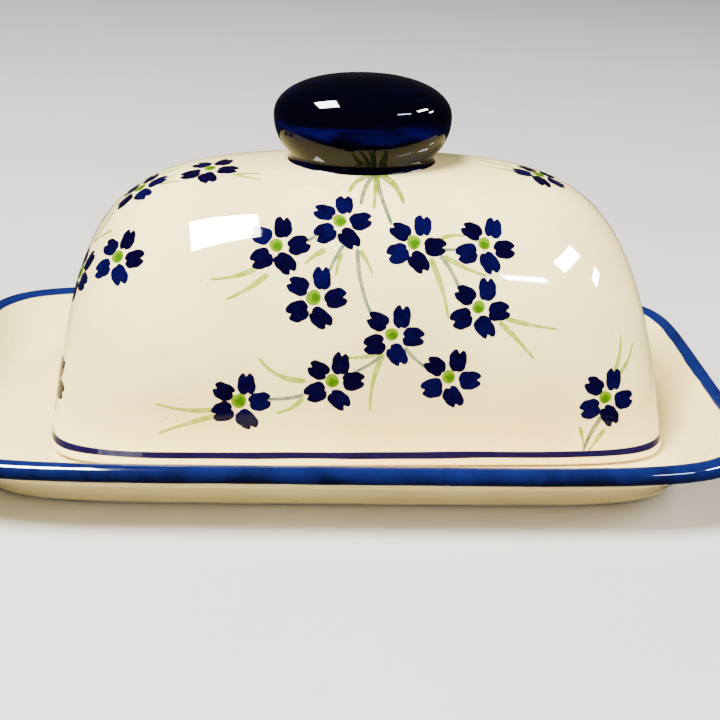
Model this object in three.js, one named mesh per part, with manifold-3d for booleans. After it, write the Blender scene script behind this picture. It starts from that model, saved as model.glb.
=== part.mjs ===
// A covered butter dish in glazed stoneware: a shallow footed dish, a hollow loaf-shaped cover that
// stands loose in its well, and a bun-shaped knob that was formed by itself and set on the cover.
// Millimetres, +Z up. The origin is under the middle of the dish, on the surface it stands on.

import * as THREE from "three";
import { mergeVertices } from "three/addons/utils/BufferGeometryUtils.js";
import Module from "manifold-3d";

// ---- Driving dimensions -------------------------------------------------------------------------

const gap = 0.3; // between pieces that rest on each other

const dish = {
  length: 200, // over the lip
  width: 120,
  height: 18.4,
  lip: 4.2, // thickness of the rounded lip
  endFlare: 14.6, // from the flat floor's edge out to the lip's outside, at the ends
  sideFlare: 16.7,
  footEndSet: 14.5, // how far the foot stands in from the lip's outside, at the ends
  footSideSet: 17.3,
  footRingWidth: 7,
  footRingDepth: 2.5, // how far the underside is hollowed inside the foot ring
  footEdge: 1.2, // rounding at the foot's outer edge
  floorThickness: 6.2,
  wellFlare: 0.42, // how far the well's curve runs out flat before it climbs
  wallBow: 0.5, // how much the outside wall hollows in below the lip
  squareness: 6.4, // exponent of the rounded-rectangle plan
};

const play = {
  end: 9.6, // between the cover and the flat floor's edge, at each end, with the cover centred
  side: 3.1,
  endLeft: 3.7, // what is left of it at one end, as the cover stands loose in the well
  sideLeft: 2.7, // and at one side
  turn: 0.026, // radians about Z
};

const cover = {
  height: 64.5,
  wall: 4.6,
  edge: 1.3, // rounding of the bottom edge, outside and inside
  endBow: 4.0, // exponent of the outline seen from the front: higher is boxier
  sideBow: 2.87, // exponent of the outline seen from the end
  endDraft: 0.105, // share by which the ends lean in towards the top
  sideDraft: 0.02,
  baseSquareness: 7.4, // exponent of the plan at the bottom edge
  topSquareness: 2.25, // exponent of the plan at the crown, close to an ellipse
};

const knob = {
  length: 43.4,
  width: 30.4,
  height: 20.7, // from the cover's crown to the knob's top
  crown: 10, // height of the domed upper part
  waistEndSet: 3.9, // how far the knob draws in to its waist, at the ends
  waistSideSet: 2.7,
  flange: 0.6, // how far the clay flares out where it is set on the cover
  flangeHeight: 1.6,
  root: 5, // how far the uncut knob reaches below the crown
  domeBow: 2.2, // exponent of the upper part's outline
  sideBow: 2.2, // how late the sides draw in to the waist
  squareness: 2.15, // exponent of the plan, close to an ellipse
};

const segments = { dish: 72, cover: 72, knob: 40 }; // faces round each piece

// ---- Values worked out from them ----------------------------------------------------------------

const floorTop = dish.footRingDepth + dish.floorThickness;
const floor = { x: dish.length / 2 - dish.endFlare, y: dish.width / 2 - dish.sideFlare };
const coverHalf = { x: floor.x - play.end, y: floor.y - play.side };
const coverRest = { x: play.end - play.endLeft, y: play.side - play.sideLeft };
const coverBase = floorTop + gap;
const crownTop = coverBase + cover.height;

// ---- Shaping ------------------------------------------------------------------------------------

// A level of a turned shape: its half length, half width, height and the exponent of its plan.
function level(halfLength, halfWidth, z, squareness) {
  return { halfLength, halfWidth, z, squareness };
}

// Turns a list of levels on a lathe, then squares each ring from a circle to its own plan. The
// list starts on the axis at the top, goes out and down, and ends on the axis.
function turnSquared(topDown, count) {
  const levels = [...topDown].reverse();
  const profile = levels.map((at) => new THREE.Vector2(at.halfLength, at.z));
  const lathe = new THREE.LatheGeometry(profile, count);
  lathe.deleteAttribute("normal");
  lathe.deleteAttribute("uv");
  lathe.rotateX(Math.PI / 2);
  const position = lathe.getAttribute("position");
  for (let i = 0; i < position.count; i += 1) {
    const at = levels[i % levels.length];
    const radius = at.halfLength;
    if (radius === 0) {
      position.setXY(i, 0, 0);
      continue;
    }
    const across = position.getX(i) / radius;
    const along = position.getY(i) / radius;
    const power = at.squareness;
    const reach = (Math.abs(across) ** power + Math.abs(along) ** power) ** (-1 / power);
    position.setXY(i, across * reach * at.halfLength, along * reach * at.halfWidth);
  }
  const merged = mergeVertices(lathe, 1e-4);
  return dropEmptyTriangles(merged);
}

// A lathe leaves flat triangles of no area at the axis, which a closed body cannot have.
function dropEmptyTriangles(geometry) {
  const index = geometry.getIndex();
  const kept = [];
  for (let i = 0; i < index.count; i += 3) {
    const corners = [index.getX(i), index.getX(i + 1), index.getX(i + 2)];
    if (new Set(corners).size === 3) kept.push(...corners);
  }
  geometry.setIndex(kept);
  return geometry;
}

// Height shares and plan shares of a domed outline, at one angle from its foot (0) to its crown.
function domeAt(angle, power) {
  const c = Math.cos(angle);
  const s = Math.sin(angle);
  const reach = (c ** power + s ** power) ** (-1 / power);
  return { plan: c * reach, rise: Math.min(1, s * reach) };
}

// One level of the cover's outer surface moved in or out by a distance.
function coverLevel(angle, offset) {
  const atCrown = angle === Math.PI / 2;
  const { plan, rise } = domeAt(angle, cover.endBow);
  const sidePlan = (1 - rise ** cover.sideBow) ** (1 / cover.sideBow);
  const halfLength = (coverHalf.x + offset) * (1 - cover.endDraft * rise) * plan;
  const halfWidth = (coverHalf.y + offset) * (1 - cover.sideDraft * rise) * sidePlan;
  const squareRange = cover.baseSquareness - cover.topSquareness;
  const squareness = cover.topSquareness + squareRange * (1 - rise) ** 2;
  const z = coverBase + (cover.height + offset) * rise;
  return level(atCrown ? 0 : halfLength, atCrown ? 0 : halfWidth, z, squareness);
}

// The levels of that surface from one angle to another, both included.
function coverLevels(from, to, steps, offset) {
  const list = [];
  for (let i = 0; i <= steps; i += 1) {
    const angle = i === steps ? to : from + ((to - from) * i) / steps;
    list.push(coverLevel(angle, offset));
  }
  return list;
}

function toSolid(wasm, geometry) {
  const vertProperties = new Float32Array(geometry.getAttribute("position").array);
  const triVerts = new Uint32Array(geometry.getIndex().array);
  return new wasm.Manifold(new wasm.Mesh({ numProp: 3, vertProperties, triVerts }));
}

function toGeometry(solid) {
  const mesh = solid.getMesh();
  const geometry = new THREE.BufferGeometry();
  geometry.setAttribute("position", new THREE.BufferAttribute(mesh.vertProperties, mesh.numProp));
  geometry.setIndex(new THREE.BufferAttribute(mesh.triVerts, 1));
  return geometry;
}

// ---- Dish ---------------------------------------------------------------------------------------

// The floor is flat where the cover stands, the well flares out to a rounded lip, and the outside
// leans back in to a foot ring.
function makeDish() {
  const lipRadius = dish.lip / 2;
  const lipHeight = dish.height - lipRadius;
  const rim = { x: dish.length / 2 - lipRadius, y: dish.width / 2 - lipRadius };
  const foot = { x: dish.length / 2 - dish.footEndSet, y: dish.width / 2 - dish.footSideSet };
  const square = dish.squareness;
  const ring = (plan, grow, z) => level(plan.x + grow, plan.y + grow, z, square);
  const between = (from, to, share) => ({
    x: from.x + (to.x - from.x) * share,
    y: from.y + (to.y - from.y) * share,
  });
  const levels = [level(0, 0, floorTop, square), ring(floor, 0, floorTop)];

  // The lip's arc runs from where the well's curve meets it, over the top, to just under its outside.
  const lipStep = Math.PI / 6;
  const lipFirst = 5;
  const lipLast = -1;
  const lipOut = (step) => lipRadius * Math.cos(step * lipStep);
  const lipUp = (step) => lipHeight + lipRadius * Math.sin(step * lipStep);

  const wellTop = lipUp(lipFirst);
  const wellEdge = { x: rim.x + lipOut(lipFirst), y: rim.y + lipOut(lipFirst) };
  const wellSteps = 6;
  for (let i = 1; i < wellSteps; i += 1) {
    const t = i / wellSteps;
    const outward = 2 * t * (1 - t) * dish.wellFlare + t * t;
    levels.push(ring(between(floor, wellEdge, outward), 0, floorTop + (wellTop - floorTop) * t * t));
  }

  for (let step = lipFirst; step >= lipLast; step -= 1) {
    levels.push(ring(rim, lipOut(step), lipUp(step)));
  }

  const wallTop = lipUp(lipLast);
  const wallOut = { x: rim.x + lipOut(lipLast), y: rim.y + lipOut(lipLast) };
  const wallSteps = 4;
  for (let i = 1; i < wallSteps; i += 1) {
    const t = i / wallSteps;
    const inward = t + dish.wallBow * t * (1 - t);
    levels.push(ring(between(wallOut, foot, inward), 0, wallTop + (dish.footEdge - wallTop) * t));
  }
  const midRound = 1 - Math.SQRT1_2; // how far a quarter round's middle stands off its corner
  levels.push(ring(foot, 0, dish.footEdge));
  levels.push(ring(foot, -dish.footEdge * midRound, dish.footEdge * midRound));
  levels.push(ring(foot, -dish.footEdge, 0));
  levels.push(ring(foot, -dish.footRingWidth, 0));
  levels.push(ring(foot, -dish.footRingWidth - dish.footRingDepth, dish.footRingDepth));
  levels.push(level(0, 0, dish.footRingDepth, square));
  return turnSquared(levels, segments.dish);
}

// ---- Cover --------------------------------------------------------------------------------------

// A shell of even wall with a rounded bottom edge that it stands on.
function makeCover() {
  const outerSteps = 14;
  const innerSteps = 10;
  const crown = Math.PI / 2;
  const outerFoot = (1.5 * cover.edge) / cover.height; // where the wall rises clear of its rounded edge
  const innerFoot = (3 * cover.edge) / cover.height;
  const outside = coverLevels(crown, outerFoot, outerSteps, 0);
  const inside = coverLevels(innerFoot, crown, innerSteps, -cover.wall);
  const base = coverLevel(0, 0);
  const edge = [];
  const cornerSteps = 3;
  const edgeAt = (inset, z) =>
    edge.push(level(base.halfLength - inset, base.halfWidth - inset, z, base.squareness));
  for (let i = 1; i <= cornerSteps; i += 1) {
    const angle = (crown * i) / cornerSteps;
    edgeAt(cover.edge * (1 - Math.cos(angle)), coverBase + cover.edge * (1 - Math.sin(angle)));
  }
  for (let i = 0; i < cornerSteps; i += 1) {
    const angle = (crown * i) / cornerSteps;
    const inset = cover.wall - cover.edge + cover.edge * Math.sin(angle);
    edgeAt(inset, coverBase + cover.edge * (1 - Math.cos(angle)));
  }
  return turnSquared([...outside, ...edge, ...inside], segments.cover);
}

// The cover's outside as a full block, grown by a distance, to cut what is set on it.
function makeCoverBlock(wasm, grow) {
  const steps = 16;
  const levels = coverLevels(Math.PI / 2, 0, steps, grow);
  const base = levels[levels.length - 1];
  levels.push(level(0, 0, base.z, base.squareness));
  return toSolid(wasm, turnSquared(levels, segments.cover));
}

// ---- Knob ---------------------------------------------------------------------------------------

// A flattened bun with a low dome, boxy sides that draw in to the waist, and a slight flange where
// it is set on the cover. Its underside follows the cover's crown.
function makeKnob(wasm) {
  const half = { x: knob.length / 2, y: knob.width / 2 };
  const waist = { x: half.x - knob.waistEndSet, y: half.y - knob.waistSideSet };
  const top = crownTop + knob.height;
  const shoulder = top - knob.crown;
  const oval = knob.squareness;
  const levels = [level(0, 0, top, oval)];
  const domeSteps = 7;
  for (let i = 1; i <= domeSteps; i += 1) {
    const { plan, rise } = domeAt((Math.PI / 2) * (1 - i / domeSteps), knob.domeBow);
    levels.push(level(half.x * plan, half.y * plan, shoulder + knob.crown * rise, oval));
  }
  const sideSteps = 4;
  const sideBottom = crownTop + knob.flangeHeight;
  for (let i = 1; i <= sideSteps; i += 1) {
    const t = i / sideSteps;
    const inward = t ** knob.sideBow;
    const x = half.x + (waist.x - half.x) * inward;
    const y = half.y + (waist.y - half.y) * inward;
    levels.push(level(x, y, shoulder + (sideBottom - shoulder) * t, oval));
  }
  levels.push(level(waist.x + knob.flange, waist.y + knob.flange, crownTop, oval));
  levels.push(level(waist.x + knob.flange, waist.y + knob.flange, crownTop - knob.root, oval));
  levels.push(level(0, 0, crownTop - knob.root, oval));
  const blank = toSolid(wasm, turnSquared(levels, segments.knob));
  return toGeometry(blank.subtract(makeCoverBlock(wasm, gap)));
}

// ---- Assembly -----------------------------------------------------------------------------------

const wasm = await Module();
wasm.setup();

function piece(name, geometry, color, roughness) {
  const material = new THREE.MeshStandardMaterial({ color, roughness, metalness: 0 });
  const mesh = new THREE.Mesh(geometry, material);
  mesh.name = name;
  return mesh;
}

const coverSet = new THREE.Group();
coverSet.position.set(coverRest.x, coverRest.y, 0);
coverSet.rotation.z = play.turn;
coverSet.add(piece("cover", makeCover(), 0xede6d4, 0.18));
coverSet.add(piece("knob", makeKnob(wasm), 0x0e1640, 0.12));

const group = new THREE.Group();
group.add(piece("dish", makeDish(), 0xe9e1cd, 0.2));
group.add(coverSet);

export default group;
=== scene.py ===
# A covered butter dish in hand-painted stoneware: a footed dish with a blue painted lip, and a
# loaf-shaped cover with a cobalt knob, stamped with blue flowers and brushed with leaves and stems.

import math
import random

import bpy
import numpy as np
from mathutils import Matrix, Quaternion, Vector


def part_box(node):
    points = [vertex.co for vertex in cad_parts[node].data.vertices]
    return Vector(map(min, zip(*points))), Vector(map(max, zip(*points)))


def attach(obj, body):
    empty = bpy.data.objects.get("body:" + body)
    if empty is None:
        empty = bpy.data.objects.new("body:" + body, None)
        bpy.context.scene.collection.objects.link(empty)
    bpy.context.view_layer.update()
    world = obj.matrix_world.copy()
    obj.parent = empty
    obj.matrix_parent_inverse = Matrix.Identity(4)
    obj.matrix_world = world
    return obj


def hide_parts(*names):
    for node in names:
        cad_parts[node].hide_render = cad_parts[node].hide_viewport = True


bl_info = {
    "name": "Painted Butter Dish",
    "version": (1, 0, 0),
    "blender": (4, 5, 0),
    "location": "View3D > Sidebar > Butter Dish",
    "description": "Models and glazes a covered stoneware butter dish around its packed frame",
    "category": "Add Mesh",
}

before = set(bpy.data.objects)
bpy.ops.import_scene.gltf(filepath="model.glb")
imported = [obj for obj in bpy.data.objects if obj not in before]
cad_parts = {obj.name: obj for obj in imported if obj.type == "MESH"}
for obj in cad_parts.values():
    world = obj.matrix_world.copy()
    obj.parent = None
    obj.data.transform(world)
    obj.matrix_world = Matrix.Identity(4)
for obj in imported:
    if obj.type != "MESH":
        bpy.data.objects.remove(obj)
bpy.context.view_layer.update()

MM = 0.001
DISH_LOW, DISH_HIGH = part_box("dish")
COVER_LOW, COVER_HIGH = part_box("cover")
KNOB_LOW, KNOB_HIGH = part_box("knob")

# ---- Sizes that the frame doesn't say, in millimetres --------------------------------------------

LIP = 4.2  # thickness of the dish's rounded lip
END_FLARE, SIDE_FLARE = 14.6, 16.7  # from the flat floor's edge out to the lip's outside
FOOT_END_SET, FOOT_SIDE_SET = 14.5, 17.3  # how far the foot stands in from the lip's outside
FOOT_RING, FOOT_DEPTH, FOOT_EDGE = 7.0, 2.5, 1.2  # the ring's breadth, its height and its rounding
FLOOR_THICKNESS = 6.2
WELL_FLARE, WALL_BOW = 0.42, 0.5  # how far the well's and the outside wall's slopes are curved
RIDGE, RIDGE_PLACE, RIDGE_RUN = 0.7, 0.46, 0.06  # the outside wall's faint step, down its slope
DISH_SQUARENESS = 6.4  # 2 is an ellipse, and more is a squarer plan

END_PLAY, SIDE_PLAY = 9.6, 3.1  # the centred cover's room in the well
END_LEFT, SIDE_LEFT = 3.7, 2.7  # what is left of it where the cover stands
COVER_TURN = 0.026  # radians

COVER_WALL, COVER_EDGE = 4.6, 1.3
END_BOW, SIDE_BOW = 4.0, 2.87
END_DRAFT, SIDE_DRAFT = 0.105, 0.02
BASE_SQUARENESS, TOP_SQUARENESS = 7.4, 2.25

KNOB_LENGTH, KNOB_WIDTH, KNOB_CROWN = 43.4, 30.4, 10.0
WAIST_END_SET, WAIST_SIDE_SET = 3.9, 2.7
KNOB_SQUARENESS, KNOB_DOME_BOW, KNOB_SIDE_BOW = 2.15, 2.2, 2.2
KNOB_JOIN, KNOB_FLANGE, KNOB_ROOT = 1.5, 0.4, 0.6  # the joint's height, its spread and its depth

PAINT_DEPTH = 0.12  # every painted skin, of which this much stands out of the glaze:
STROKE_LIFT, LINE_LIFT, PETAL_LIFT, EYE_LIFT = 0.04, 0.05, 0.06, 0.07

# The patterns in the clay, paint and glaze: how far their lumps lie apart, and the reliefs' depths.
CLOUD, GLOSS_PATCH, RIPPLE, RIPPLE_DEPTH = 35, 18, 7, 0.012
CLAY_GRAIN, CLAY_PATCH, CLAY_DEPTH = 0.8, 12, 0.05
SPONGE_BLOT, SPONGE_GRAIN, BRUSH_STREAK, DAB_WOBBLE = 2.6, 0.5, 1.6, 0.8
LIP_STREAK, KNOB_RUN, FLOOR_TOOTH = 9, 9, 60

# ---- Values worked out from them and from the frame ----------------------------------------------

DISH_HALF = ((DISH_HIGH[0] - DISH_LOW[0]) / 2 / MM, (DISH_HIGH[1] - DISH_LOW[1]) / 2 / MM)
DISH_HEIGHT = DISH_HIGH[2] / MM
FLOOR_TOP = FOOT_DEPTH + FLOOR_THICKNESS
FLOOR_HALF = (DISH_HALF[0] - END_FLARE, DISH_HALF[1] - SIDE_FLARE)
COVER_HALF = (FLOOR_HALF[0] - END_PLAY, FLOOR_HALF[1] - SIDE_PLAY)
COVER_REST = (END_PLAY - END_LEFT, SIDE_PLAY - SIDE_LEFT)
COVER_BASE = COVER_LOW[2] / MM
COVER_HEIGHT = (COVER_HIGH[2] - COVER_LOW[2]) / MM
KNOB_TOP = KNOB_HIGH[2] / MM - COVER_BASE
RIGHT_ANGLE = math.pi / 2


def linear(hex_colour):
    """Turns an sRGB hex colour into the linear RGBA that shaders take."""
    channels = [int(hex_colour[i : i + 2], 16) / 255 for i in (1, 3, 5)]
    channels = [c / 12.92 if c <= 0.04045 else ((c + 0.055) / 1.055) ** 2.4 for c in channels]
    return (*channels, 1.0)


# ---- Settings a user would change ---------------------------------------------------------------


def colour_setting(name, description, hex_colour):
    colour = {"subtype": "COLOR", "size": 4, "min": 0, "max": 1, "default": linear(hex_colour)}
    return bpy.props.FloatVectorProperty(name=name, description=description, **colour)


def length_setting(name, description, millimetres):
    length = {"unit": "LENGTH", "subtype": "DISTANCE", "default": millimetres * MM}
    return bpy.props.FloatProperty(name=name, description=description, **length)


class GlazeColours(bpy.types.PropertyGroup):
    cream: colour_setting("Cream glaze", "Body colour of the dish and cover", "#F8E69A")
    cream_warm: colour_setting("Warm cream", "Where the glaze lies thicker", "#EBCF8C")
    speck: colour_setting("Specks", "Iron specks in the glaze", "#9A8560")
    cobalt: colour_setting("Cobalt", "Flower petals and the cover's border line", "#030016")
    cobalt_light: colour_setting("Thin cobalt", "Where the petals' colour is thin", "#080234")
    lip_blue: colour_setting("Lip blue", "The painted lip of the dish", "#0E184A")
    # Dark lip blue darkens the lip's underside: partly pooled glaze, partly painted shade.
    lip_pool_and_shade: colour_setting("Dark lip blue", "Where the lip's colour has pooled", "#040416")
    knob_dark: colour_setting("Knob cobalt", "The knob where the glaze is thick", "#010106")
    # Knob blue is also the painted highlight of blue glints in a band round the knob's belly.
    knob_blue: colour_setting("Knob blue", "The knob where the glaze is thin", "#0A0046")
    leaf: colour_setting("Leaf green", "Brushed leaves", "#84960C")
    leaf_laden: colour_setting("Deep leaf green", "Where a laden brush began the leaves", "#5C7000")
    stem_laden: colour_setting("Deep stem green", "Where a laden brush began the stems", "#3E5434")
    stem: colour_setting("Stem green", "Brushed stems", "#54654E")
    eye: colour_setting("Eye green", "Flower centres", "#305A00")
    eye_light: colour_setting("Light eye green", "The thin side of the flower centres", "#5E7A00")
    clay: colour_setting("Bare stoneware", "The unglazed foot and cover edge", "#D6C49C")


class PaintSizes(bpy.types.PropertyGroup):
    line_width: length_setting("Border line", "Width of the line round the cover", 1.7)
    line_height: length_setting("Border height", "From the cover's bottom edge up to the line", 2.3)
    flower_scale: bpy.props.FloatProperty(
        name="Flower size", description="Scale of the flower stamp", default=1.0, min=0.5, max=1.5
    )
    speck_spacing: length_setting("Speck spacing", "Distance between the glaze's fine specks", 1.5)


# ---- Materials ----------------------------------------------------------------------------------

STEP = {"interpolation_type": "SMOOTHSTEP"}  # what makes a Map Range node a smooth step


def add_node(tree, kind, inputs=(), **settings):
    """Adds a shader node and gives back its outputs. Inputs go by name or number: a socket is linked
    and a value is set. The colours of a Mix node are its inputs 6 and 7 and its output 2."""
    node = tree.nodes.new(kind)
    for key, value in settings.items():
        setattr(node, key, value)
    for key, source in dict(inputs).items():
        if isinstance(source, bpy.types.NodeSocket):
            tree.links.new(source, node.inputs[key])
        else:
            node.inputs[key].default_value = source
    return node.outputs


def new_material(name):
    """A new material with its empty node tree and the object's coordinates."""
    material = bpy.data.materials.new(name)
    material.use_nodes = True
    tree = material.node_tree
    tree.nodes.clear()
    return material, tree, add_node(tree, "ShaderNodeTexCoord")["Object"]


def lumps(place, size, **more):
    """Inputs of a pattern whose lumps are size metres across."""
    return {"Vector": place, "Scale": 1 / size, **more}


def ramp(value, low, high, to_low=0.0, to_high=1.0):
    """Inputs of a step that goes from to_low to to_high as value goes from low to high."""
    return {0: value, 1: low, 2: high, 3: to_low, 4: to_high}


def finish_glaze(tree, colour, place, roughness=0.02, gloss=0.5):
    """Clear glaze over a colour: glossy, a little unevenly so, with the faint ripple of the firing,
    which bends the edges of what it mirrors."""
    patch = add_node(tree, "ShaderNodeTexNoise", lumps(place, GLOSS_PATCH * MM))["Fac"]
    rough = ramp(patch, 0.3, 0.75, roughness, roughness + 0.025)
    ripple = add_node(tree, "ShaderNodeTexNoise", lumps(place, RIPPLE * MM, Detail=1.0))["Fac"]
    bump = {"Strength": 1.0, "Distance": RIPPLE_DEPTH * MM, "Height": ripple}
    inputs = {
        "Base Color": colour,
        "Roughness": add_node(tree, "ShaderNodeMapRange", rough, **STEP)[0],
        "IOR": 1.5,
        "Specular IOR Level": gloss,
        "Normal": add_node(tree, "ShaderNodeBump", bump)["Normal"],
    }
    surface = add_node(tree, "ShaderNodeBsdfPrincipled", inputs)[0]
    add_node(tree, "ShaderNodeOutputMaterial", {"Surface": surface})


def cream_colour(tree, place, colours, spacing):
    """Warm white that thickens to a deeper cream in clouds, peppered with fine iron specks and
    fewer coarse ones."""
    cloud = add_node(tree, "ShaderNodeTexNoise", lumps(place, CLOUD * MM, Detail=3.0))["Fac"]
    thick = add_node(tree, "ShaderNodeMapRange", ramp(cloud, 0.35, 0.7, 0.0, 0.8), **STEP)[0]
    body = {0: thick, 6: colours.cream, 7: colours.cream_warm}
    body = add_node(tree, "ShaderNodeMix", body, data_type="RGBA")[2]
    fine, coarse = (spacing, 0.15, 0.5), (spacing * 2.6, 0.08, 0.8)
    for size, radius, strength in (fine, coarse):
        cells = add_node(tree, "ShaderNodeTexVoronoi", lumps(place, size))
        chosen = add_node(tree, "ShaderNodeSeparateColor", {0: cells["Color"]})[0]
        dot = ramp(cells["Distance"], radius * 0.5, radius, 1.0, 0.0)
        dot = add_node(tree, "ShaderNodeMapRange", dot, **STEP)[0]
        rare = add_node(tree, "ShaderNodeMapRange", ramp(chosen, 0.35, 0.95, 0.0, strength), **STEP)[0]
        speck = add_node(tree, "ShaderNodeMath", {0: dot, 1: rare}, operation="MULTIPLY")[0]
        body = add_node(tree, "ShaderNodeMix", {0: speck, 6: body, 7: colours.speck}, data_type="RGBA")[2]
    return body


def cream_glaze(colours, paints):
    """Glossy tin-white stoneware glaze, dipped and fired: warm cream, faint clouds, fine specks."""
    material, tree, place = new_material("cream stoneware glaze")
    finish_glaze(tree, cream_colour(tree, place, colours, paints.speck_spacing), place)
    return material


def bare_stoneware(colours):
    """Fired clay with its glaze wiped off: matt, sandy and a little darker in patches."""
    material, tree, place = new_material("bare stoneware clay")
    grain = add_node(tree, "ShaderNodeTexNoise", lumps(place, CLAY_GRAIN * MM, Detail=4.0))["Fac"]
    patch = add_node(tree, "ShaderNodeTexNoise", lumps(place, CLAY_PATCH * MM))["Fac"]
    dark = add_node(tree, "ShaderNodeVectorMath", {0: colours.clay[:3], 3: 0.72}, operation="SCALE")[0]
    share = add_node(tree, "ShaderNodeMapRange", ramp(patch, 0.35, 0.7), **STEP)[0]
    colour = add_node(tree, "ShaderNodeMix", {0: share, 6: colours.clay, 7: dark}, data_type="RGBA")[2]
    bump = {"Strength": 0.6, "Distance": CLAY_DEPTH * MM, "Height": grain}
    normal = add_node(tree, "ShaderNodeBump", bump)["Normal"]
    inputs = {"Base Color": colour, "Roughness": 0.85, "Normal": normal}
    surface = add_node(tree, "ShaderNodeBsdfPrincipled", inputs)[0]
    add_node(tree, "ShaderNodeOutputMaterial", {"Surface": surface})
    return material


def cobalt_underglaze(colours, gloss=0.12):
    """Sponge-stamped cobalt under clear glaze: nearly black blue, lighter where the sponge left
    less colour. The tone attribute makes each petal a little different."""
    material, tree, place = new_material("cobalt underglaze")
    blot = lumps(place, SPONGE_BLOT * MM, Detail=3.0, Roughness=0.6)
    blot = add_node(tree, "ShaderNodeTexNoise", blot)["Fac"]
    grain = add_node(tree, "ShaderNodeTexNoise", lumps(place, SPONGE_GRAIN * MM))["Fac"]
    mottle = add_node(tree, "ShaderNodeMath", {0: blot, 1: grain}, operation="ADD")[0]
    tone = add_node(tree, "ShaderNodeAttribute", attribute_name="tone")["Fac"]
    toned = add_node(tree, "ShaderNodeMath", {0: mottle, 1: tone}, operation="ADD")[0]
    share = add_node(tree, "ShaderNodeMapRange", ramp(toned, 0.9, 2.1), **STEP)[0]
    colour = {0: share, 6: colours.cobalt, 7: colours.cobalt_light}
    colour = add_node(tree, "ShaderNodeMix", colour, data_type="RGBA")[2]
    finish_glaze(tree, colour, place, gloss=gloss)
    return material


def brushed_underglaze(name, paint, laden, thinnest, colours, paints):
    """Colour brushed under the glaze: the cream shows through, less so at the stroke's edges and
    where the brush lifts off. thinnest is its least cover. The attribute across goes from 0 in the
    middle to 1 at the edges, along goes with the brush, and load is 1 where the brush was laden."""
    material, tree, place = new_material(name)
    across = add_node(tree, "ShaderNodeAttribute", attribute_name="across")["Fac"]
    along = add_node(tree, "ShaderNodeAttribute", attribute_name="along")["Fac"]
    load = add_node(tree, "ShaderNodeAttribute", attribute_name="load")["Fac"]
    streak = add_node(tree, "ShaderNodeTexNoise", lumps(place, BRUSH_STREAK * MM))["Fac"]
    edge = add_node(tree, "ShaderNodeMapRange", ramp(across, 0.35, 0.95, 0.0, 0.22), **STEP)[0]
    tip = add_node(tree, "ShaderNodeMapRange", ramp(along, 0.75, 1.0, 0.0, 0.2), **STEP)[0]
    wash = add_node(tree, "ShaderNodeMapRange", ramp(streak, 0.3, 0.7, thinnest, 1.0), **STEP)[0]
    more = add_node(tree, "ShaderNodeMath", {0: edge, 1: tip}, operation="ADD")[0]
    cover = add_node(tree, "ShaderNodeMath", {0: wash, 1: more}, operation="ADD", use_clamp=True)[0]
    body = cream_colour(tree, place, colours, paints.speck_spacing)
    wet = add_node(tree, "ShaderNodeMix", {0: load, 6: paint, 7: laden}, data_type="RGBA")[2]
    colour = add_node(tree, "ShaderNodeMix", {0: cover, 6: body, 7: wet}, data_type="RGBA")[2]
    finish_glaze(tree, colour, place)
    return material


def eye_underglaze(colours):
    """The flowers' green centres: a light dab with a stronger one over it, off to one side. The
    attribute dab is the distance from the stronger one's middle."""
    material, tree, place = new_material("yellow-green underglaze")
    wobble = add_node(tree, "ShaderNodeTexNoise", lumps(place, DAB_WOBBLE * MM))["Fac"]
    dab = add_node(tree, "ShaderNodeAttribute", attribute_name="dab")["Fac"]
    reach = add_node(tree, "ShaderNodeMath", {0: dab, 1: wobble}, operation="ADD")[0]
    share = add_node(tree, "ShaderNodeMapRange", ramp(reach, 0.9, 1.35, 1.0, 0.0), **STEP)[0]
    colour = {0: share, 6: colours.eye_light, 7: colours.eye}
    colour = add_node(tree, "ShaderNodeMix", colour, data_type="RGBA")[2]
    finish_glaze(tree, colour, place, gloss=0.2)
    return material


def lip_glaze(colours):
    """Mid blue brushed over the lip, thin over its top and darker down it: partly pooled glaze, partly
    painted shade on the lip's underside. The attribute under says how far down the lip a point is."""
    material, tree, place = new_material("blue lip glaze")
    streak = lumps(place, LIP_STREAK * MM, Detail=4.0, Distortion=0.4)
    streak = add_node(tree, "ShaderNodeTexNoise", streak)["Fac"]
    under = add_node(tree, "ShaderNodeAttribute", attribute_name="under")["Fac"]
    # The darkening down the lip is partly pooled glaze and partly painted shade on its underside.
    pooled_and_shaded = add_node(tree, "ShaderNodeMath", {0: streak, 1: under}, operation="ADD")[0]
    share = add_node(tree, "ShaderNodeMapRange", ramp(pooled_and_shaded, 0.55, 1.35), **STEP)[0]
    colour = {0: share, 6: colours.lip_blue, 7: colours.lip_pool_and_shade}
    colour = add_node(tree, "ShaderNodeMix", colour, data_type="RGBA")[2]
    finish_glaze(tree, colour, place, roughness=0.04, gloss=0.3)
    return material


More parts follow.
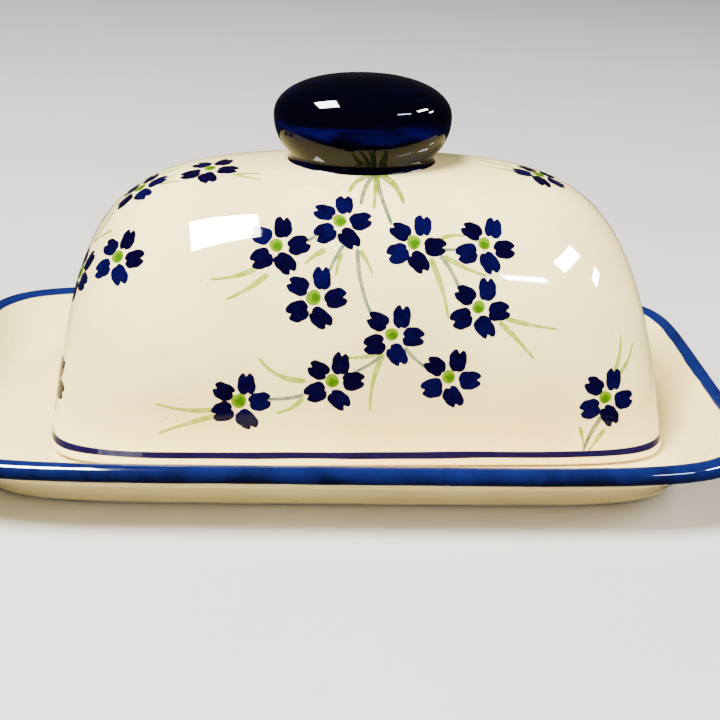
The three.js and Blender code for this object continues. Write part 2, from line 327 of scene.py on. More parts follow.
def knob_glaze(colours):
    """Cobalt glaze laid on thick: almost black, with royal blue where it ran thin, and a painted
    highlight, a band of royal blue glints, round the knob's belly."""
    material, tree, place = new_material("thick cobalt glaze")
    flat = add_node(tree, "ShaderNodeMapping", {"Vector": place, "Scale": (0.5, 0.5, 2.2)})[0]
    run = lumps(flat, KNOB_RUN * MM, Detail=3.0, Distortion=0.8)
    run = add_node(tree, "ShaderNodeTexNoise", run)["Fac"]
    # Knob blue in a band round the belly is a painted highlight: the glints of light in the glaze.
    belly = KNOB_HIGH[2] - (KNOB_CROWN + 1.5) * MM
    height = add_node(tree, "ShaderNodeSeparateXYZ", {0: place})["Z"]
    glint_lift = 0.22
    over = ramp(height, belly, belly + 3 * MM, glint_lift, 0.0)
    over = add_node(tree, "ShaderNodeMapRange", over, **STEP)[0]
    under = ramp(height, belly - 4 * MM, belly, -glint_lift, 0.0)
    under = add_node(tree, "ShaderNodeMapRange", under, **STEP)[0]
    band = add_node(tree, "ShaderNodeMath", {0: over, 1: under}, operation="ADD")[0]
    # thin adds the painted glint band to the glaze's thin runs.
    thin = add_node(tree, "ShaderNodeMath", {0: run, 1: band}, operation="ADD")[0]
    share = add_node(tree, "ShaderNodeMapRange", ramp(thin, 0.55, 1.05), **STEP)[0]
    colour = {0: share, 6: colours.knob_dark, 7: colours.knob_blue}
    colour = add_node(tree, "ShaderNodeMix", colour, data_type="RGBA")[2]
    finish_glaze(tree, colour, place, roughness=0.01, gloss=0.14)
    return material


def floor_paper():
    """A plain pale studio floor, matt, with a faint tooth."""
    material, tree, place = new_material("pale studio floor")
    tooth = add_node(tree, "ShaderNodeTexNoise", lumps(place, FLOOR_TOOTH * MM, Detail=3.0))["Fac"]
    colour = {0: tooth, 6: linear("#B5B2AC"), 7: linear("#BCB9B4")}
    colour = add_node(tree, "ShaderNodeMix", colour, data_type="RGBA")[2]
    inputs = {"Base Color": colour, "Roughness": 0.8, "Specular IOR Level": 0.25}
    surface = add_node(tree, "ShaderNodeBsdfPrincipled", inputs)[0]
    add_node(tree, "ShaderNodeOutputMaterial", {"Surface": surface})
    return material


# ---- Modelling ----------------------------------------------------------------------------------


def deselect():
    if bpy.context.mode != "OBJECT":
        bpy.ops.object.mode_set(mode="OBJECT")
    bpy.ops.object.select_all(action="DESELECT")


def choose(piece):
    deselect()
    piece.select_set(True)
    bpy.context.view_layer.objects.active = piece


def places_of(piece):
    """The piece's points in millimetres."""
    places = np.empty(len(piece.data.vertices) * 3)
    piece.data.vertices.foreach_get("co", places)
    return places.reshape(-1, 3) / MM


def move_places(piece, places):
    piece.data.vertices.foreach_set("co", (np.asarray(places) * MM).ravel())
    piece.data.update()


def keep_number(piece, name, values):
    """Stores a number on each point for a material to read."""
    layer = piece.data.attributes.new(name, "FLOAT", "POINT")
    numbers = np.broadcast_to(values, len(piece.data.vertices))
    layer.data.foreach_set("value", numbers.astype(np.float32))


def turned(name, levels, steps):
    """Draws the levels' half section from a single point, spins it round and squares each ring. A
    level is (half length, half width, height, squareness)."""
    deselect()
    bpy.ops.mesh.primitive_plane_add(size=MM)
    piece = bpy.context.object
    piece.name = piece.data.name = name
    bpy.ops.object.mode_set(mode="EDIT")
    bpy.ops.mesh.merge(type="CENTER")
    bpy.ops.transform.translate(value=(levels[0][0] * MM, 0, levels[0][2] * MM))
    for here, there in zip(levels, levels[1:]):
        move = ((there[0] - here[0]) * MM, 0, (there[2] - here[2]) * MM)
        bpy.ops.mesh.extrude_region_move(TRANSFORM_OT_translate={"value": move})
    bpy.ops.mesh.select_all(action="SELECT")
    bpy.ops.mesh.spin(steps=steps, angle=math.tau, center=(0, 0, 0), axis=(0, 0, 1))
    bpy.ops.mesh.select_all(action="SELECT")
    same_point = 0.002 * MM
    bpy.ops.mesh.remove_doubles(threshold=same_point)
    bpy.ops.mesh.normals_make_consistent(inside=False)
    bpy.ops.object.mode_set(mode="OBJECT")
    square_rings(piece, levels)
    return piece


def rounded_rectangle(angles, squareness):
    """Points of a rounded rectangle of half sides 1, in the directions of angles."""
    across, along = np.cos(angles), np.sin(angles)
    reach = (abs(across) ** squareness + abs(along) ** squareness) ** (-1 / squareness)
    return across * reach, along * reach


def square_rings(piece, levels):
    """Moves each ring of a turned piece from its circle to its own rounded rectangle."""
    places = places_of(piece)
    table = np.array(levels)
    radius = np.hypot(places[:, 0], places[:, 1])
    gaps = (radius[:, None] - table[:, 0]) ** 2 + (places[:, 2, None] - table[:, 2]) ** 2
    half_length, half_width, _, squareness = table[gaps.argmin(axis=1)].T
    angles = np.arctan2(places[:, 1], places[:, 0])
    across, along = rounded_rectangle(angles, squareness)
    places[:, 0] = across * half_length
    places[:, 1] = along * half_width
    move_places(piece, places)


def smooth(piece, degrees=35):
    choose(piece)
    bpy.ops.object.shade_smooth_by_angle(angle=math.radians(degrees))


def seat_on_dish(piece):
    """Moves a piece from the cover's own place to where the cover stands on the dish."""
    choose(piece)
    piece.location = (COVER_REST[0] * MM, COVER_REST[1] * MM, COVER_BASE * MM)
    piece.rotation_euler = (0, 0, COVER_TURN)
    bpy.ops.object.transform_apply(location=True, rotation=True, scale=True)


def put_on(piece, *materials):
    for material in materials:
        piece.data.materials.append(material)


# ---- Shapes of the dish, cover and knob ---------------------------------------------------------


def dome_at(angle, power):
    """Plan share and height share of a domed outline, at an angle from its foot to its crown."""
    plan, rise = rounded_rectangle(angle, power)
    return plan, min(1.0, rise)


def cover_plan(rise, offset=0.0):
    """Half length, half width and squareness of the cover's plan at a height share."""
    half_length = (COVER_HALF[0] + offset) * (1 - END_DRAFT * rise)
    half_length *= (1 - rise**END_BOW) ** (1 / END_BOW)
    half_width = (COVER_HALF[1] + offset) * (1 - SIDE_DRAFT * rise)
    half_width *= (1 - rise**SIDE_BOW) ** (1 / SIDE_BOW)
    squareness = TOP_SQUARENESS + (BASE_SQUARENESS - TOP_SQUARENESS) * (1 - rise) ** 2
    return half_length, half_width, squareness


def cover_levels(start, end, steps, offset=0.0):
    """Levels of the cover's wall, offset outwards, from one angle of its outline to another."""
    levels = []
    for i in range(steps + 1):
        angle = start + (end - start) * i / steps
        rise = dome_at(angle, END_BOW)[1]
        half_length, half_width, squareness = cover_plan(rise, offset)
        if abs(angle - RIGHT_ANGLE) < 1e-6:
            half_length = half_width = 0.0
        levels.append((half_length, half_width, (COVER_HEIGHT + offset) * rise, squareness))
    return levels


def beyond_cover(places):
    """Below 0 for points inside the cover's outer surface and above 0 for points outside it."""
    rise = np.clip(places[:, 2] / COVER_HEIGHT, 0, 1 - 1e-9)
    half_length, half_width, squareness = cover_plan(rise)
    across = abs(places[:, 0] / half_length) ** squareness
    along = abs(places[:, 1] / half_width) ** squareness
    return np.where(places[:, 2] >= COVER_HEIGHT, 1.0, (across + along) ** (1 / squareness) - 1)


def meet_cover(outside, inside):
    """Where the lines from points outside the cover to points inside it meet its surface."""
    outside, inside = np.array(outside, float), np.array(inside, float)
    halvings = 48
    for _ in range(halvings):
        middle = (outside + inside) / 2
        out = beyond_cover(middle)[:, None] > 0
        outside = np.where(out, middle, outside)
        inside = np.where(out, inside, middle)
    return (outside + inside) / 2


def cover_normals(places):
    """The directions straight out of the cover's surface."""
    small = 0.02 * np.eye(3)
    slopes = [beyond_cover(places + step) - beyond_cover(places - step) for step in small]
    normals = np.stack(slopes, axis=1)
    return normals / np.linalg.norm(normals, axis=1, keepdims=True)


def pressed_on_cover(places, normals, reach):
    """Points moved along their normals, by up to reach, on to the cover's surface."""
    return meet_cover(places + reach * normals, places - reach * normals)


# ---- Painting on the cover ----------------------------------------------------------------------

# Each side of the cover is painted as it is seen: the way looked, what is to the right and what is
# up. The crown is painted once from the front and once from the back.
VIEWS = {
    "front": ((0, 1, 0), (1, 0, 0), (0, 0, 1)),
    "back": ((0, -1, 0), (-1, 0, 0), (0, 0, 1)),
    "left": ((1, 0, 0), (0, -1, 0), (0, 0, 1)),
    "right": ((-1, 0, 0), (0, 1, 0), (0, 0, 1)),
    "crown": ((0, 0, -1), (1, 0, 0), (0, 1, 0)),
    "crown_back": ((0, 0, -1), (-1, 0, 0), (0, -1, 0)),
}
CORE = np.array((0.0, 0.0, 8.0))  # a view's lines end at this depth, which is inside the cover
FAR = 120.0  # and start this far in front of it


def on_cover(view, marks):
    """Points on the cover's surface for marks given as (right, up) millimetres in a view."""
    look, right, up = (np.array(axis, float) for axis in VIEWS[view])
    marks = np.asarray(marks, float)
    flat = marks[:, :1] * right + marks[:, 1:] * up
    depth = CORE @ look
    return meet_cover(flat + (depth - FAR) * look, flat + depth * look)


def lay_flat_shape(view, centre, flat):
    """Lays a flat shape on the cover round a centre. flat holds (right, up, lift)."""
    right = np.array(VIEWS[view][1], float)
    spot = on_cover(view, [centre])
    normal = cover_normals(spot)[0]
    right -= (right @ normal) * normal
    right /= np.linalg.norm(right)
    up = np.cross(normal, right)
    open_shape = spot + flat[:, :1] * right + flat[:, 1:2] * up
    pressed = pressed_on_cover(open_shape, normal, reach=12)
    return pressed + cover_normals(pressed) * flat[:, 2:]


# The flower stamp: five petals cut from sponge. Each has the direction and distance of its middle
# from the eye, its length and width, how far it leans from that direction, and how far the nick in
# its tip lies from its own axis. Degrees and millimetres.
STAMP = (
    (65, 4.6, 5.6, 4.1, 25, -5),
    (140, 4.2, 5.25, 4.2, 15, 0),
    (217, 4.75, 5.3, 4.8, -20, 0),
    (288, 4.9, 5.8, 4.2, 25, -13),
    (354, 5.05, 5.4, 4.5, 14, -4),
)
PETAL_POINTS = 48
PETAL_RINGS = (1.0, 0.82, 0.5)

# Flowers are (right, up, turn) in a view.
FRONT_FLOWERS = (
    (-21, 51.5, 7),
    (-6.5, 56.5, 6),
    (10.5, 52.5, -2),
    (27, 52, -5),
    (-12.5, 41, 2),
    (25.5, 39, -2),
    (5.5, 33, -4),
    (19, 23, -3),
    (-8, 22, 3),
    (-29.5, 17, 3),
    (57, 17, -2),
    (-58, 45.5, -12),
)
CROWN_FLOWERS = ((-37, -5, -19), (-54, -3, -10), (44, -1.5, -15))
LEFT_FLOWERS = ((11.8, 38.5, 0), (22.1, 14.6, 0), (-9, 47, 0), (-16, 28, 0), (1, 22, 0))
RIGHT_FLOWERS = ((3, 50, 0), (-5, 34, 0), (12, 30, 0), (-2, 14, 0))

# Strokes are (from, to, bow, width): bow is how far the middle swings to the left, as a share of
# the length.
FRONT_LEAVES = (
    ((-9.5, 51), (-14.5, 48), -0.05, 1.2),
    ((-6, 50.5), (-7.5, 45.5), -0.04, 0.9),
    ((-2, 51), (1, 46), 0.04, 0.9),
    ((-25, 47), (-36, 44), 0.05, 1.1),
    ((-22.5, 46), (-32.5, 40), 0.04, 1.2),
    ((16.5, 53), (22.5, 53.5), 0.08, 0.9),
    ((14, 50), (18.5, 36.5), 0.04, 1.2),
    ((17, 50), (27.5, 45.5), -0.035, 1.1),
    ((31.5, 36.5), (44.5, 33.5), -0.02, 1.0),
    ((30, 36), (39, 27), 0.02, 1.1),
    ((4, 29), (-5, 27.5), 0.05, 1.0),
    ((4, 29), (1, 14.5), -0.07, 1.1),
    ((-13.5, 22), (-25, 27.5), 0.14, 1.1),
    ((-14.5, 18), (-21, 14), 0.1, 1.0),
    ((-34, 15), (-49, 16), 0.06, 1.0),
    ((-34, 13.5), (-48.5, 8.5), -0.02, 1.1),
    ((59, 22), (61, 30.5), -0.06, 0.9),
    ((60, 21.5), (64.5, 28), -0.08, 0.9),
)
FRONT_STEMS = (
    ((-2.5, 51.5), (1.5, 36), -0.065, 1.0),
    ((-5.5, 52), (-9, 46.5), -0.04, 0.9),
    ((-14, 52.5), (-11, 54), 0.0, 0.8),
    ((16.5, 51), (21, 51), 0.0, 0.8),
    ((16.5, 50), (21.5, 41.5), 0.055, 1.0),
    ((3.5, 28), (-4, 23.5), 0.025, 0.9),
    ((8.5, 30), (14, 25), -0.04, 0.9),
    ((-14.5, 18.5), (-23, 17.5), 0.04, 1.0),
)
FOOT_STEMS = (((56.5, 12.5), (52.5, 4), -0.06, 1.1),)
FOOT_LEAVES = (
    ((51, 10.5), (52.5, 4.5), 0.03, 0.8),
    ((57.5, 9.5), (53.6, 3.8), 0.0, 1.0),
)
CROWN_LEAVES = (
    ((3, -12), (-4, -19.5), -0.13, 1.8),
    ((3.5, -12), (8.5, -22.5), 0.07, 1.9),
    ((3, -12), (1.5, -24), 0.0, 1.3),
)
CROWN_STEMS = (
    ((2.5, -12), (-1.5, -23), -0.04, 1.2),
    ((3, -12), (5.5, -27), -0.07, 1.2),
)
END_LEAVES = {
    "crown": (
        ((-49.5, 0), (-43.5, 0.5), 0.05, 0.9),
        ((-49, -7), (-44, -9), 0.05, 0.9),
        ((-31.5, -10.5), (-24.5, -11), 0.03, 0.9),
        ((-31.5, -10.5), (-24.5, -14), 0.0, 0.9),
        ((38, -0.5), (29.5, 2.5), 0.04, 1.1),
        ((39, -4), (31, -3), 0.04, 1.0),
    ),
    "left": (
        ((13.5, 49.5), (9, 45), -0.05, 0.9),
        ((5, 34), (-3, 31), 0.05, 0.9),
        ((-14, 22), (-12, 9), 0.08, 1.0),
    ),
    "right": (
        ((0, 43), (-6, 38), 0.05, 0.9),
        ((6, 25), (2, 20), 0.04, 0.9),
        ((16, 23), (20, 11), 0.06, 1.0),
    ),
}
END_STEMS = {
    "crown": (((-49.5, -5), (-45.5, -4.5), 0.03, 0.8),),
    "left": (
        ((5.5, 52), (9, 45), 0.05, 0.9),
        ((-11, 40), (-14, 34), 0.05, 0.9),
        ((-11, 24), (-5, 22), 0.05, 0.9),
    ),
    "right": (
        ((5, 43), (10, 36), -0.05, 0.9),
        ((-11, 26), (-6, 19), 0.05, 0.9),
    ),
}


def all_flowers():
    """(view, place) of every flower. The back carries the same spray as the front."""
    sides = (("front", FRONT_FLOWERS), ("back", FRONT_FLOWERS), ("crown", CROWN_FLOWERS))
    ends = (("left", LEFT_FLOWERS), ("right", RIGHT_FLOWERS))
    return [(view, place) for view, places in sides + ends for place in places]


def waves(angles, parts, shift=0.0):
    """A sum of sine waves round a ring. Each part has its count, size and start."""
    return sum(size * np.sin(count * angles + start + shift) for count, size, start in parts)


def nick_cut(angles, at, depth, width):
    """How far a nick at an angle cuts an outline back, as a share of the outline's reach."""
    off = np.angle(np.exp(1j * (angles - at)))
    return 1 - depth * np.exp(-((off / width) ** 2))


def petal_outline(angles, length, width, nick, chance):
    """Distance from a petal's middle to its edge: an oval, blunt and broad at the base, with a nick
    cut in the tip, a smaller one at the base and the unevenness of cut sponge."""
    along, across = np.cos(angles), np.sin(angles)
    blunt = np.where(along < 0, 2.45, 2.2)
    oval = (abs(along) / (length / 2)) ** blunt + (abs(across) / (width / 2)) ** blunt
    shoulders = 0.14 * across**2 * np.clip(-along, 0, None)
    fuller = 1 + 0.04 * along + shoulders
    tip = nick_cut(angles, math.radians(nick + chance.uniform(-4, 4)), 0.4, 0.17)
    base_depth = 0.25 * chance.random() ** 0.6
    base = nick_cut(angles, math.pi + chance.uniform(-0.25, 0.25), base_depth, 0.13)
    hand = ((3, 0.03, chance.uniform(0, 6)), (7, 0.02, chance.uniform(0, 6)))
    return oval ** (-1 / blunt) * fuller * tip * base * (1 + waves(angles, hand))


def disc_blank(name, points, rings):
    """A flat disc of rings round a middle point, one millimetre in radius."""
    deselect()
    bpy.ops.mesh.primitive_circle_add(vertices=points, radius=rings[0] * MM, fill_type="NOTHING")
    blank = bpy.context.object
    blank.name = blank.data.name = name
    bpy.ops.object.mode_set(mode="EDIT")
    for outer, inner in zip(rings, rings[1:]):
        share = inner / outer
        bpy.ops.mesh.extrude_region_move()
        bpy.ops.transform.resize(value=(share, share, 1))
    bpy.ops.mesh.extrude_region_move()
    bpy.ops.mesh.merge(type="CENTER")
    bpy.ops.mesh.select_all(action="SELECT")
    bpy.ops.mesh.normals_make_consistent(inside=False)
    bpy.ops.object.mode_set(mode="OBJECT")
    return blank


def polar(blank):
    """The distance and the angle of a flat piece's points from its middle."""
    flat = places_of(blank)
    return np.hypot(flat[:, 0], flat[:, 1]), np.arctan2(flat[:, 1], flat[:, 0])


def copy_of(blank):
    copy = blank.copy()
    copy.data = blank.data.copy()
    bpy.context.collection.objects.link(copy)
    return copy


def join(name, parts):
    deselect()
    for part in parts:
        part.select_set(True)
    bpy.context.view_layer.objects.active = parts[0]
    bpy.ops.object.join()
    parts[0].name = parts[0].data.name = name
    return parts[0]


def face_out(piece):
    """Turns faces that look into the cover round."""
    mesh = piece.data
    middles = np.array([face.center for face in mesh.polygons]) / MM
    looks = np.array([face.normal for face in mesh.polygons])
    inward = (looks * cover_normals(middles)).sum(axis=1) < 0
    if inward.mean() > 0.5:
        mesh.flip_normals()


def thicken(piece):
    """Gives a painted skin its thickness, into the glaze, so that it is a closed body."""
    choose(piece)
    solid = piece.modifiers.new("paint", "SOLIDIFY")
    solid.thickness = PAINT_DEPTH * MM
    solid.offset = -1
    bpy.ops.object.modifier_apply(modifier=solid.name)


def finish_paint(piece):
    thicken(piece)
    smooth(piece, degrees=50)
    seat_on_dish(piece)
    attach(piece, "cover")


def stamped_petals(scale):
    """Every petal of every flower, pressed on the cover."""
    chance = random.Random(7)
    blank = disc_blank("petal", PETAL_POINTS, PETAL_RINGS)
    ring, angles = polar(blank)
    petals = []
    for view, (right, up, turn) in all_flowers():
        for angle, distance, length, width, lean, nick in STAMP:
            edge = petal_outline(angles, length, width, nick, chance) * ring * scale
            toward = math.radians(angle + turn + chance.uniform(-4, 4))
            axis = angles + math.radians(angle + turn + lean + chance.uniform(-5, 5))
            away = (distance + chance.uniform(-0.2, 0.2)) * scale
            across = away * math.cos(toward) + edge * np.cos(axis)
            upward = away * math.sin(toward) + edge * np.sin(axis)
            petal = copy_of(blank)
            shape = np.stack((across, upward, np.full_like(across, PETAL_LIFT)), axis=1)
            move_places(petal, lay_flat_shape(view, (right, up), shape))
            face_out(petal)
            keep_number(petal, "tone", chance.uniform(0, 0.6))
            petals.append(petal)
    bpy.data.objects.remove(blank)
    return join("flower_petals", petals)


def dabbed_eyes(scale):
    """The flowers' round centres."""
    chance = random.Random(11)
    blank = disc_blank("eye", 32, (1.0, 0.75, 0.4))
    ring, angles = polar(blank)
    eyes = []
    for view, (right, up, _) in all_flowers():
        radius = chance.uniform(1.45, 1.75) * scale
        hand = ((2, 0.04, chance.uniform(0, 6)), (3, 0.03, chance.uniform(0, 6)))
        edge = ring * radius * (1 + waves(angles, hand))
        shape = np.stack((edge * np.cos(angles), edge * np.sin(angles)), axis=1)
        side = chance.uniform(-1.6, 0.4)
        strong = 0.35 * np.array((math.cos(side), math.sin(side)))
        dab = np.linalg.norm(shape - strong, axis=1) / radius
        shape = np.column_stack((shape, np.full(len(shape), EYE_LIFT)))
        eye = copy_of(blank)
        move_places(eye, lay_flat_shape(view, (right, up), shape))
        face_out(eye)
        keep_number(eye, "dab", dab)
        eyes.append(eye)
    bpy.data.objects.remove(blank)
    return join("flower_eyes", eyes)


def bowed_line(stroke, share):
    """Points of a stroke's middle line, at shares of the way along it."""
    start, end, bow, _ = stroke
    run = np.subtract(end, start).astype(float)
    left = np.array((-run[1], run[0]))
    return start + share[:, None] * run + (4 * bow * share * (1 - share))[:, None] * left


def brush_stroke(blank, view, stroke, taper, load):
    """One stroke: a strip along a bowed line, as wide as taper says at each point of it."""
    width = stroke[3]
    flat = places_of(blank)
    along = flat[:, 0] + 0.5
    across = flat[:, 1] * 2
    small = 0.01
    middle = on_cover(view, bowed_line(stroke, along))
    ahead = on_cover(view, bowed_line(stroke, along + small))
    ahead -= on_cover(view, bowed_line(stroke, along - small))
    ahead /= np.linalg.norm(ahead, axis=1, keepdims=True)
    normals = cover_normals(middle)
    sideways = np.cross(normals, ahead)
    spread = middle + sideways * (across * taper(along) * width / 2)[:, None]
    pressed = pressed_on_cover(spread, normals, reach=6)
    strip = copy_of(blank)
    move_places(strip, pressed + cover_normals(pressed) * STROKE_LIFT)
    face_out(strip)
    keep_number(strip, "along", along)
    keep_number(strip, "across", abs(across))
    keep_number(strip, "load", load * (1 - 0.6 * along))
    return strip


def brushed(name, strokes, taper):
    """All the strokes of one colour. strokes holds (view, list of strokes, load of paint)."""
    deselect()
    bpy.ops.mesh.primitive_grid_add(x_subdivisions=22, y_subdivisions=4, size=MM)
    blank = bpy.context.object
    strips = []
    for view, group, load in strokes:
        strips += [brush_stroke(blank, view, stroke, taper, load) for stroke in group]
    bpy.data.objects.remove(blank)
    return join(name, strips)


def leaf_taper(share):
    """Lands rounded, swells a little and is drawn out to a narrow round tip."""
    swell = 0.75 + 0.25 * np.sin(math.pi * np.clip(share / 0.6, 0, 1))
    ends = np.clip(share / 0.08, 0, 1) ** 0.6 * np.clip((1.002 - share) / 0.05, 0, 1) ** 0.5
    return ends * swell * (1 - 0.5 * share**1.5) * 1.15


def stem_taper(share):
    """Nearly even, with round ends."""
    ends = np.clip(share / 0.04, 0, 1) ** 0.5 * np.clip((1.002 - share) / 0.04, 0, 1) ** 0.5
    return ends * (1 - 0.35 * share)


def hoop(name, radius, steps, rows):
    """A straight open band of one-millimetre rows round the axis, to lay a painted line out from."""
    deselect()
    bpy.ops.mesh.primitive_circle_add(vertices=steps, radius=radius * MM, fill_type="NOTHING")
    piece = bpy.context.object
    piece.name = piece.data.name = name
    bpy.ops.object.mode_set(mode="EDIT")
    for _ in range(rows):
        bpy.ops.mesh.extrude_region_move(TRANSFORM_OT_translate={"value": (0, 0, MM)})
    bpy.ops.mesh.select_all(action="SELECT")
    bpy.ops.mesh.normals_make_consistent(inside=False)
    bpy.ops.object.mode_set(mode="OBJECT")
    return piece


def border_line(width, height):
    """The line round the cover, brushed with a slightly unsteady hand."""
    rows = 4
    piece = hoop("cover_border_line", COVER_HALF[0], 360, rows)
    places = places_of(piece)
    angles = np.arctan2(places[:, 1], places[:, 0])
    share = places[:, 2] / rows
    hand = ((5, 0.10, 0.3), (11, 0.07, 1.9), (23, 0.05, 4.0))
    low = height / MM + waves(angles, hand)
    high = (height + width) / MM + waves(angles, hand, 1.3) * 0.7
    z = low + (high - low) * share
    half_length, half_width, squareness = cover_plan(z / COVER_HEIGHT)
    across, along = rounded_rectangle(angles, squareness)
    surface = np.stack((across * half_length, along * half_width, z), axis=1)
    move_places(piece, surface + cover_normals(surface) * LINE_LIFT)
    face_out(piece)
    keep_number(piece, "tone", 0.5 + share * 0.4)
    return piece


# ---- Operators ----------------------------------------------------------------------------------


class BUTTER_DISH_OT_dish(bpy.types.Operator):
    """Model the dish: flat floor, flared well, rounded lip and foot ring"""

    bl_idname = "butter_dish.dish"
    bl_label = "Dish"

    lip_radius = LIP / 2
    lip_height = DISH_HEIGHT - lip_radius
    lip_inside, lip_outside = math.radians(150), math.radians(-30)
    foot_half = (DISH_HALF[0] - FOOT_END_SET, DISH_HALF[1] - FOOT_SIDE_SET)

    def execute(self, context):
        scene = context.scene
        levels = self.well() + self.lip() + self.wall() + self.foot()
        dish = turned("dish_body", levels, steps=288)
        glaze = cream_glaze(scene.glaze_colours, scene.paint_sizes)
        put_on(dish, glaze, bare_stoneware(scene.glaze_colours))
        wiped = 0.8 * MM
        for face in dish.data.polygons:
            face.material_index = int(face.center[2] < wiped)
        smooth(dish)
        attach(dish, "dish")
        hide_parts("dish")
        return {"FINISHED"}

    def ring(self, half, grow, z):
        return (half[0] + grow, half[1] + grow, z, DISH_SQUARENESS)

    def between(self, start, end, share):
        return [a + (b - a) * share for a, b in zip(start, end)]

    def lip_at(self, angle):
        """The ring of the lip at an angle round its thickness, from 0 at the outside."""
        rim = [half - self.lip_radius for half in DISH_HALF]
        z = self.lip_height + self.lip_radius * math.sin(angle)
        return self.ring(rim, self.lip_radius * math.cos(angle), z)

    def well(self):
        """The flat floor from its middle out, and the flared slope up to the lip."""
        floor_steps, slope_steps = 12, 20
        levels = [(0, 0, FLOOR_TOP, DISH_SQUARENESS)]
        for i in range(1, floor_steps + 1):
            half = self.between((0, 0), FLOOR_HALF, i / floor_steps)
            levels.append(self.ring(half, 0, FLOOR_TOP))
        top = self.lip_at(self.lip_inside)
        for i in range(1, slope_steps):
            t = i / slope_steps
            outward = 2 * t * (1 - t) * WELL_FLARE + t * t
            half = self.between(FLOOR_HALF, top[:2], outward)
            levels.append(self.ring(half, 0, FLOOR_TOP + (top[2] - FLOOR_TOP) * t * t))
        return levels

    def lip(self):
        steps = 18
        turn = (self.lip_outside - self.lip_inside) / steps
        return [self.lip_at(self.lip_inside + turn * i) for i in range(steps + 1)]

    def wall(self):
        """The outside wall, bowed, from under the lip down to the foot, with its faint step."""
        steps = 14
        top = self.lip_at(self.lip_outside)
        step_start, step_end = RIDGE_PLACE - RIDGE_RUN / 2, RIDGE_PLACE + RIDGE_RUN / 2
        levels = []
        for t in sorted([i / steps for i in range(1, steps)] + [step_start, step_end]):
            half = self.between(top[:2], self.foot_half, t + WALL_BOW * t * (1 - t))
            stands_out = RIDGE * min(max((t - step_start) / RIDGE_RUN, 0), 1) * (1 - t)
            levels.append(self.ring(half, stands_out, top[2] + (FOOT_EDGE - top[2]) * t))
        return levels

    def foot(self):
        """The foot ring's rounded outside, its flat underside, its inside and the dish's bottom."""
        corner_steps, bevel, inside_slope = 6, 0.25, 0.4
        levels = []
        for i in range(corner_steps + 1):
            angle = RIGHT_ANGLE * i / corner_steps
            inset, z = FOOT_EDGE * (1 - math.cos(angle)), FOOT_EDGE * (1 - math.sin(angle))
            levels.append(self.ring(self.foot_half, -inset, z))
        levels.append(self.ring(self.foot_half, inside_slope - FOOT_RING, 0))
        levels.append(self.ring(self.foot_half, -FOOT_RING, bevel))
        top = -FOOT_RING - FOOT_DEPTH
        levels.append(self.ring(self.foot_half, top + 0.6, FOOT_DEPTH - bevel))
        levels.append(self.ring(self.foot_half, top - inside_slope, FOOT_DEPTH))
        inner = levels[-1]
        for share in (0.75, 0.5, 0.25, 0):
            levels.append((inner[0] * share, inner[1] * share, FOOT_DEPTH, DISH_SQUARENESS))
        return levels


class BUTTER_DISH_OT_lip(bpy.types.Operator):
    """Brush the blue band over the dish's lip"""

    bl_idname = "butter_dish.lip"
    bl_label = "Painted lip"

    def execute(self, context):
        rows = 18
        top, under = math.radians(152), math.radians(-46)
        lip = hoop("dish_lip_paint", DISH_HALF[0], 480, rows)
        places = places_of(lip)
        around = np.arctan2(places[:, 1], places[:, 0])
        share = places[:, 2] / rows
        wave = waves(around, ((7, 0.05, 1), (17, 0.04, 0), (41, 0.03, 2)))
        angle = under + (top - under) * share + wave * np.where(share > 0.5, share, 1 - share)
        radius = LIP / 2
        out = (radius + LINE_LIFT) * np.cos(angle) - radius
        height = DISH_HEIGHT - radius + (radius + LINE_LIFT) * np.sin(angle)
        across, along = rounded_rectangle(around, DISH_SQUARENESS)
        x, y = across * (DISH_HALF[0] + out), along * (DISH_HALF[1] + out)
        move_places(lip, np.stack((x, y, height), axis=1))
        # under darkens the lip's colour towards its underside: partly pooled glaze, partly painted shade.
        keep_number(lip, "under", 0.75 * (1 - share))
        thicken(lip)
        put_on(lip, lip_glaze(context.scene.glaze_colours))
        smooth(lip, degrees=50)
        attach(lip, "dish")
        return {"FINISHED"}


class BUTTER_DISH_OT_cover(bpy.types.Operator):
    """Model the cover: a hollow loaf-shaped shell with a rounded bottom edge"""

    bl_idname = "butter_dish.cover"
    bl_label = "Cover"

    def execute(self, context):
        scene = context.scene
        outside_foot, inside_foot = 1.5 * COVER_EDGE / COVER_HEIGHT, 3 * COVER_EDGE / COVER_HEIGHT
        levels = cover_levels(RIGHT_ANGLE, outside_foot, steps=96)
        levels += self.bottom_edge()
        levels += cover_levels(inside_foot, RIGHT_ANGLE, steps=56, offset=-COVER_WALL)
        cover = turned("cover_shell", levels, steps=240)
        glaze = cream_glaze(scene.glaze_colours, scene.paint_sizes)
        put_on(cover, glaze, bare_stoneware(scene.glaze_colours))
        wiped = 0.4 * MM
        for face in cover.data.polygons:
            face.material_index = int(face.center[2] < wiped)
        smooth(cover)
        seat_on_dish(cover)
        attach(cover, "cover")
        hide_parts("cover")
        return {"FINISHED"}

    def bottom_edge(self):
        """The edge that stands on the dish, rounded at the outside and at the inside."""
        half_length, half_width, squareness = cover_plan(0.0)
        corner_steps = 6
        corner = [RIGHT_ANGLE * i / corner_steps for i in range(corner_steps + 1)]
        flat_end = COVER_WALL - COVER_EDGE
        edge = [(COVER_EDGE * (1 - math.cos(a)), COVER_EDGE * (1 - math.sin(a))) for a in corner]
        edge += [(flat_end + COVER_EDGE * math.sin(a), COVER_EDGE * (1 - math.cos(a))) for a in corner]
        return [(half_length - inset, half_width - inset, z, squareness) for inset, z in edge]


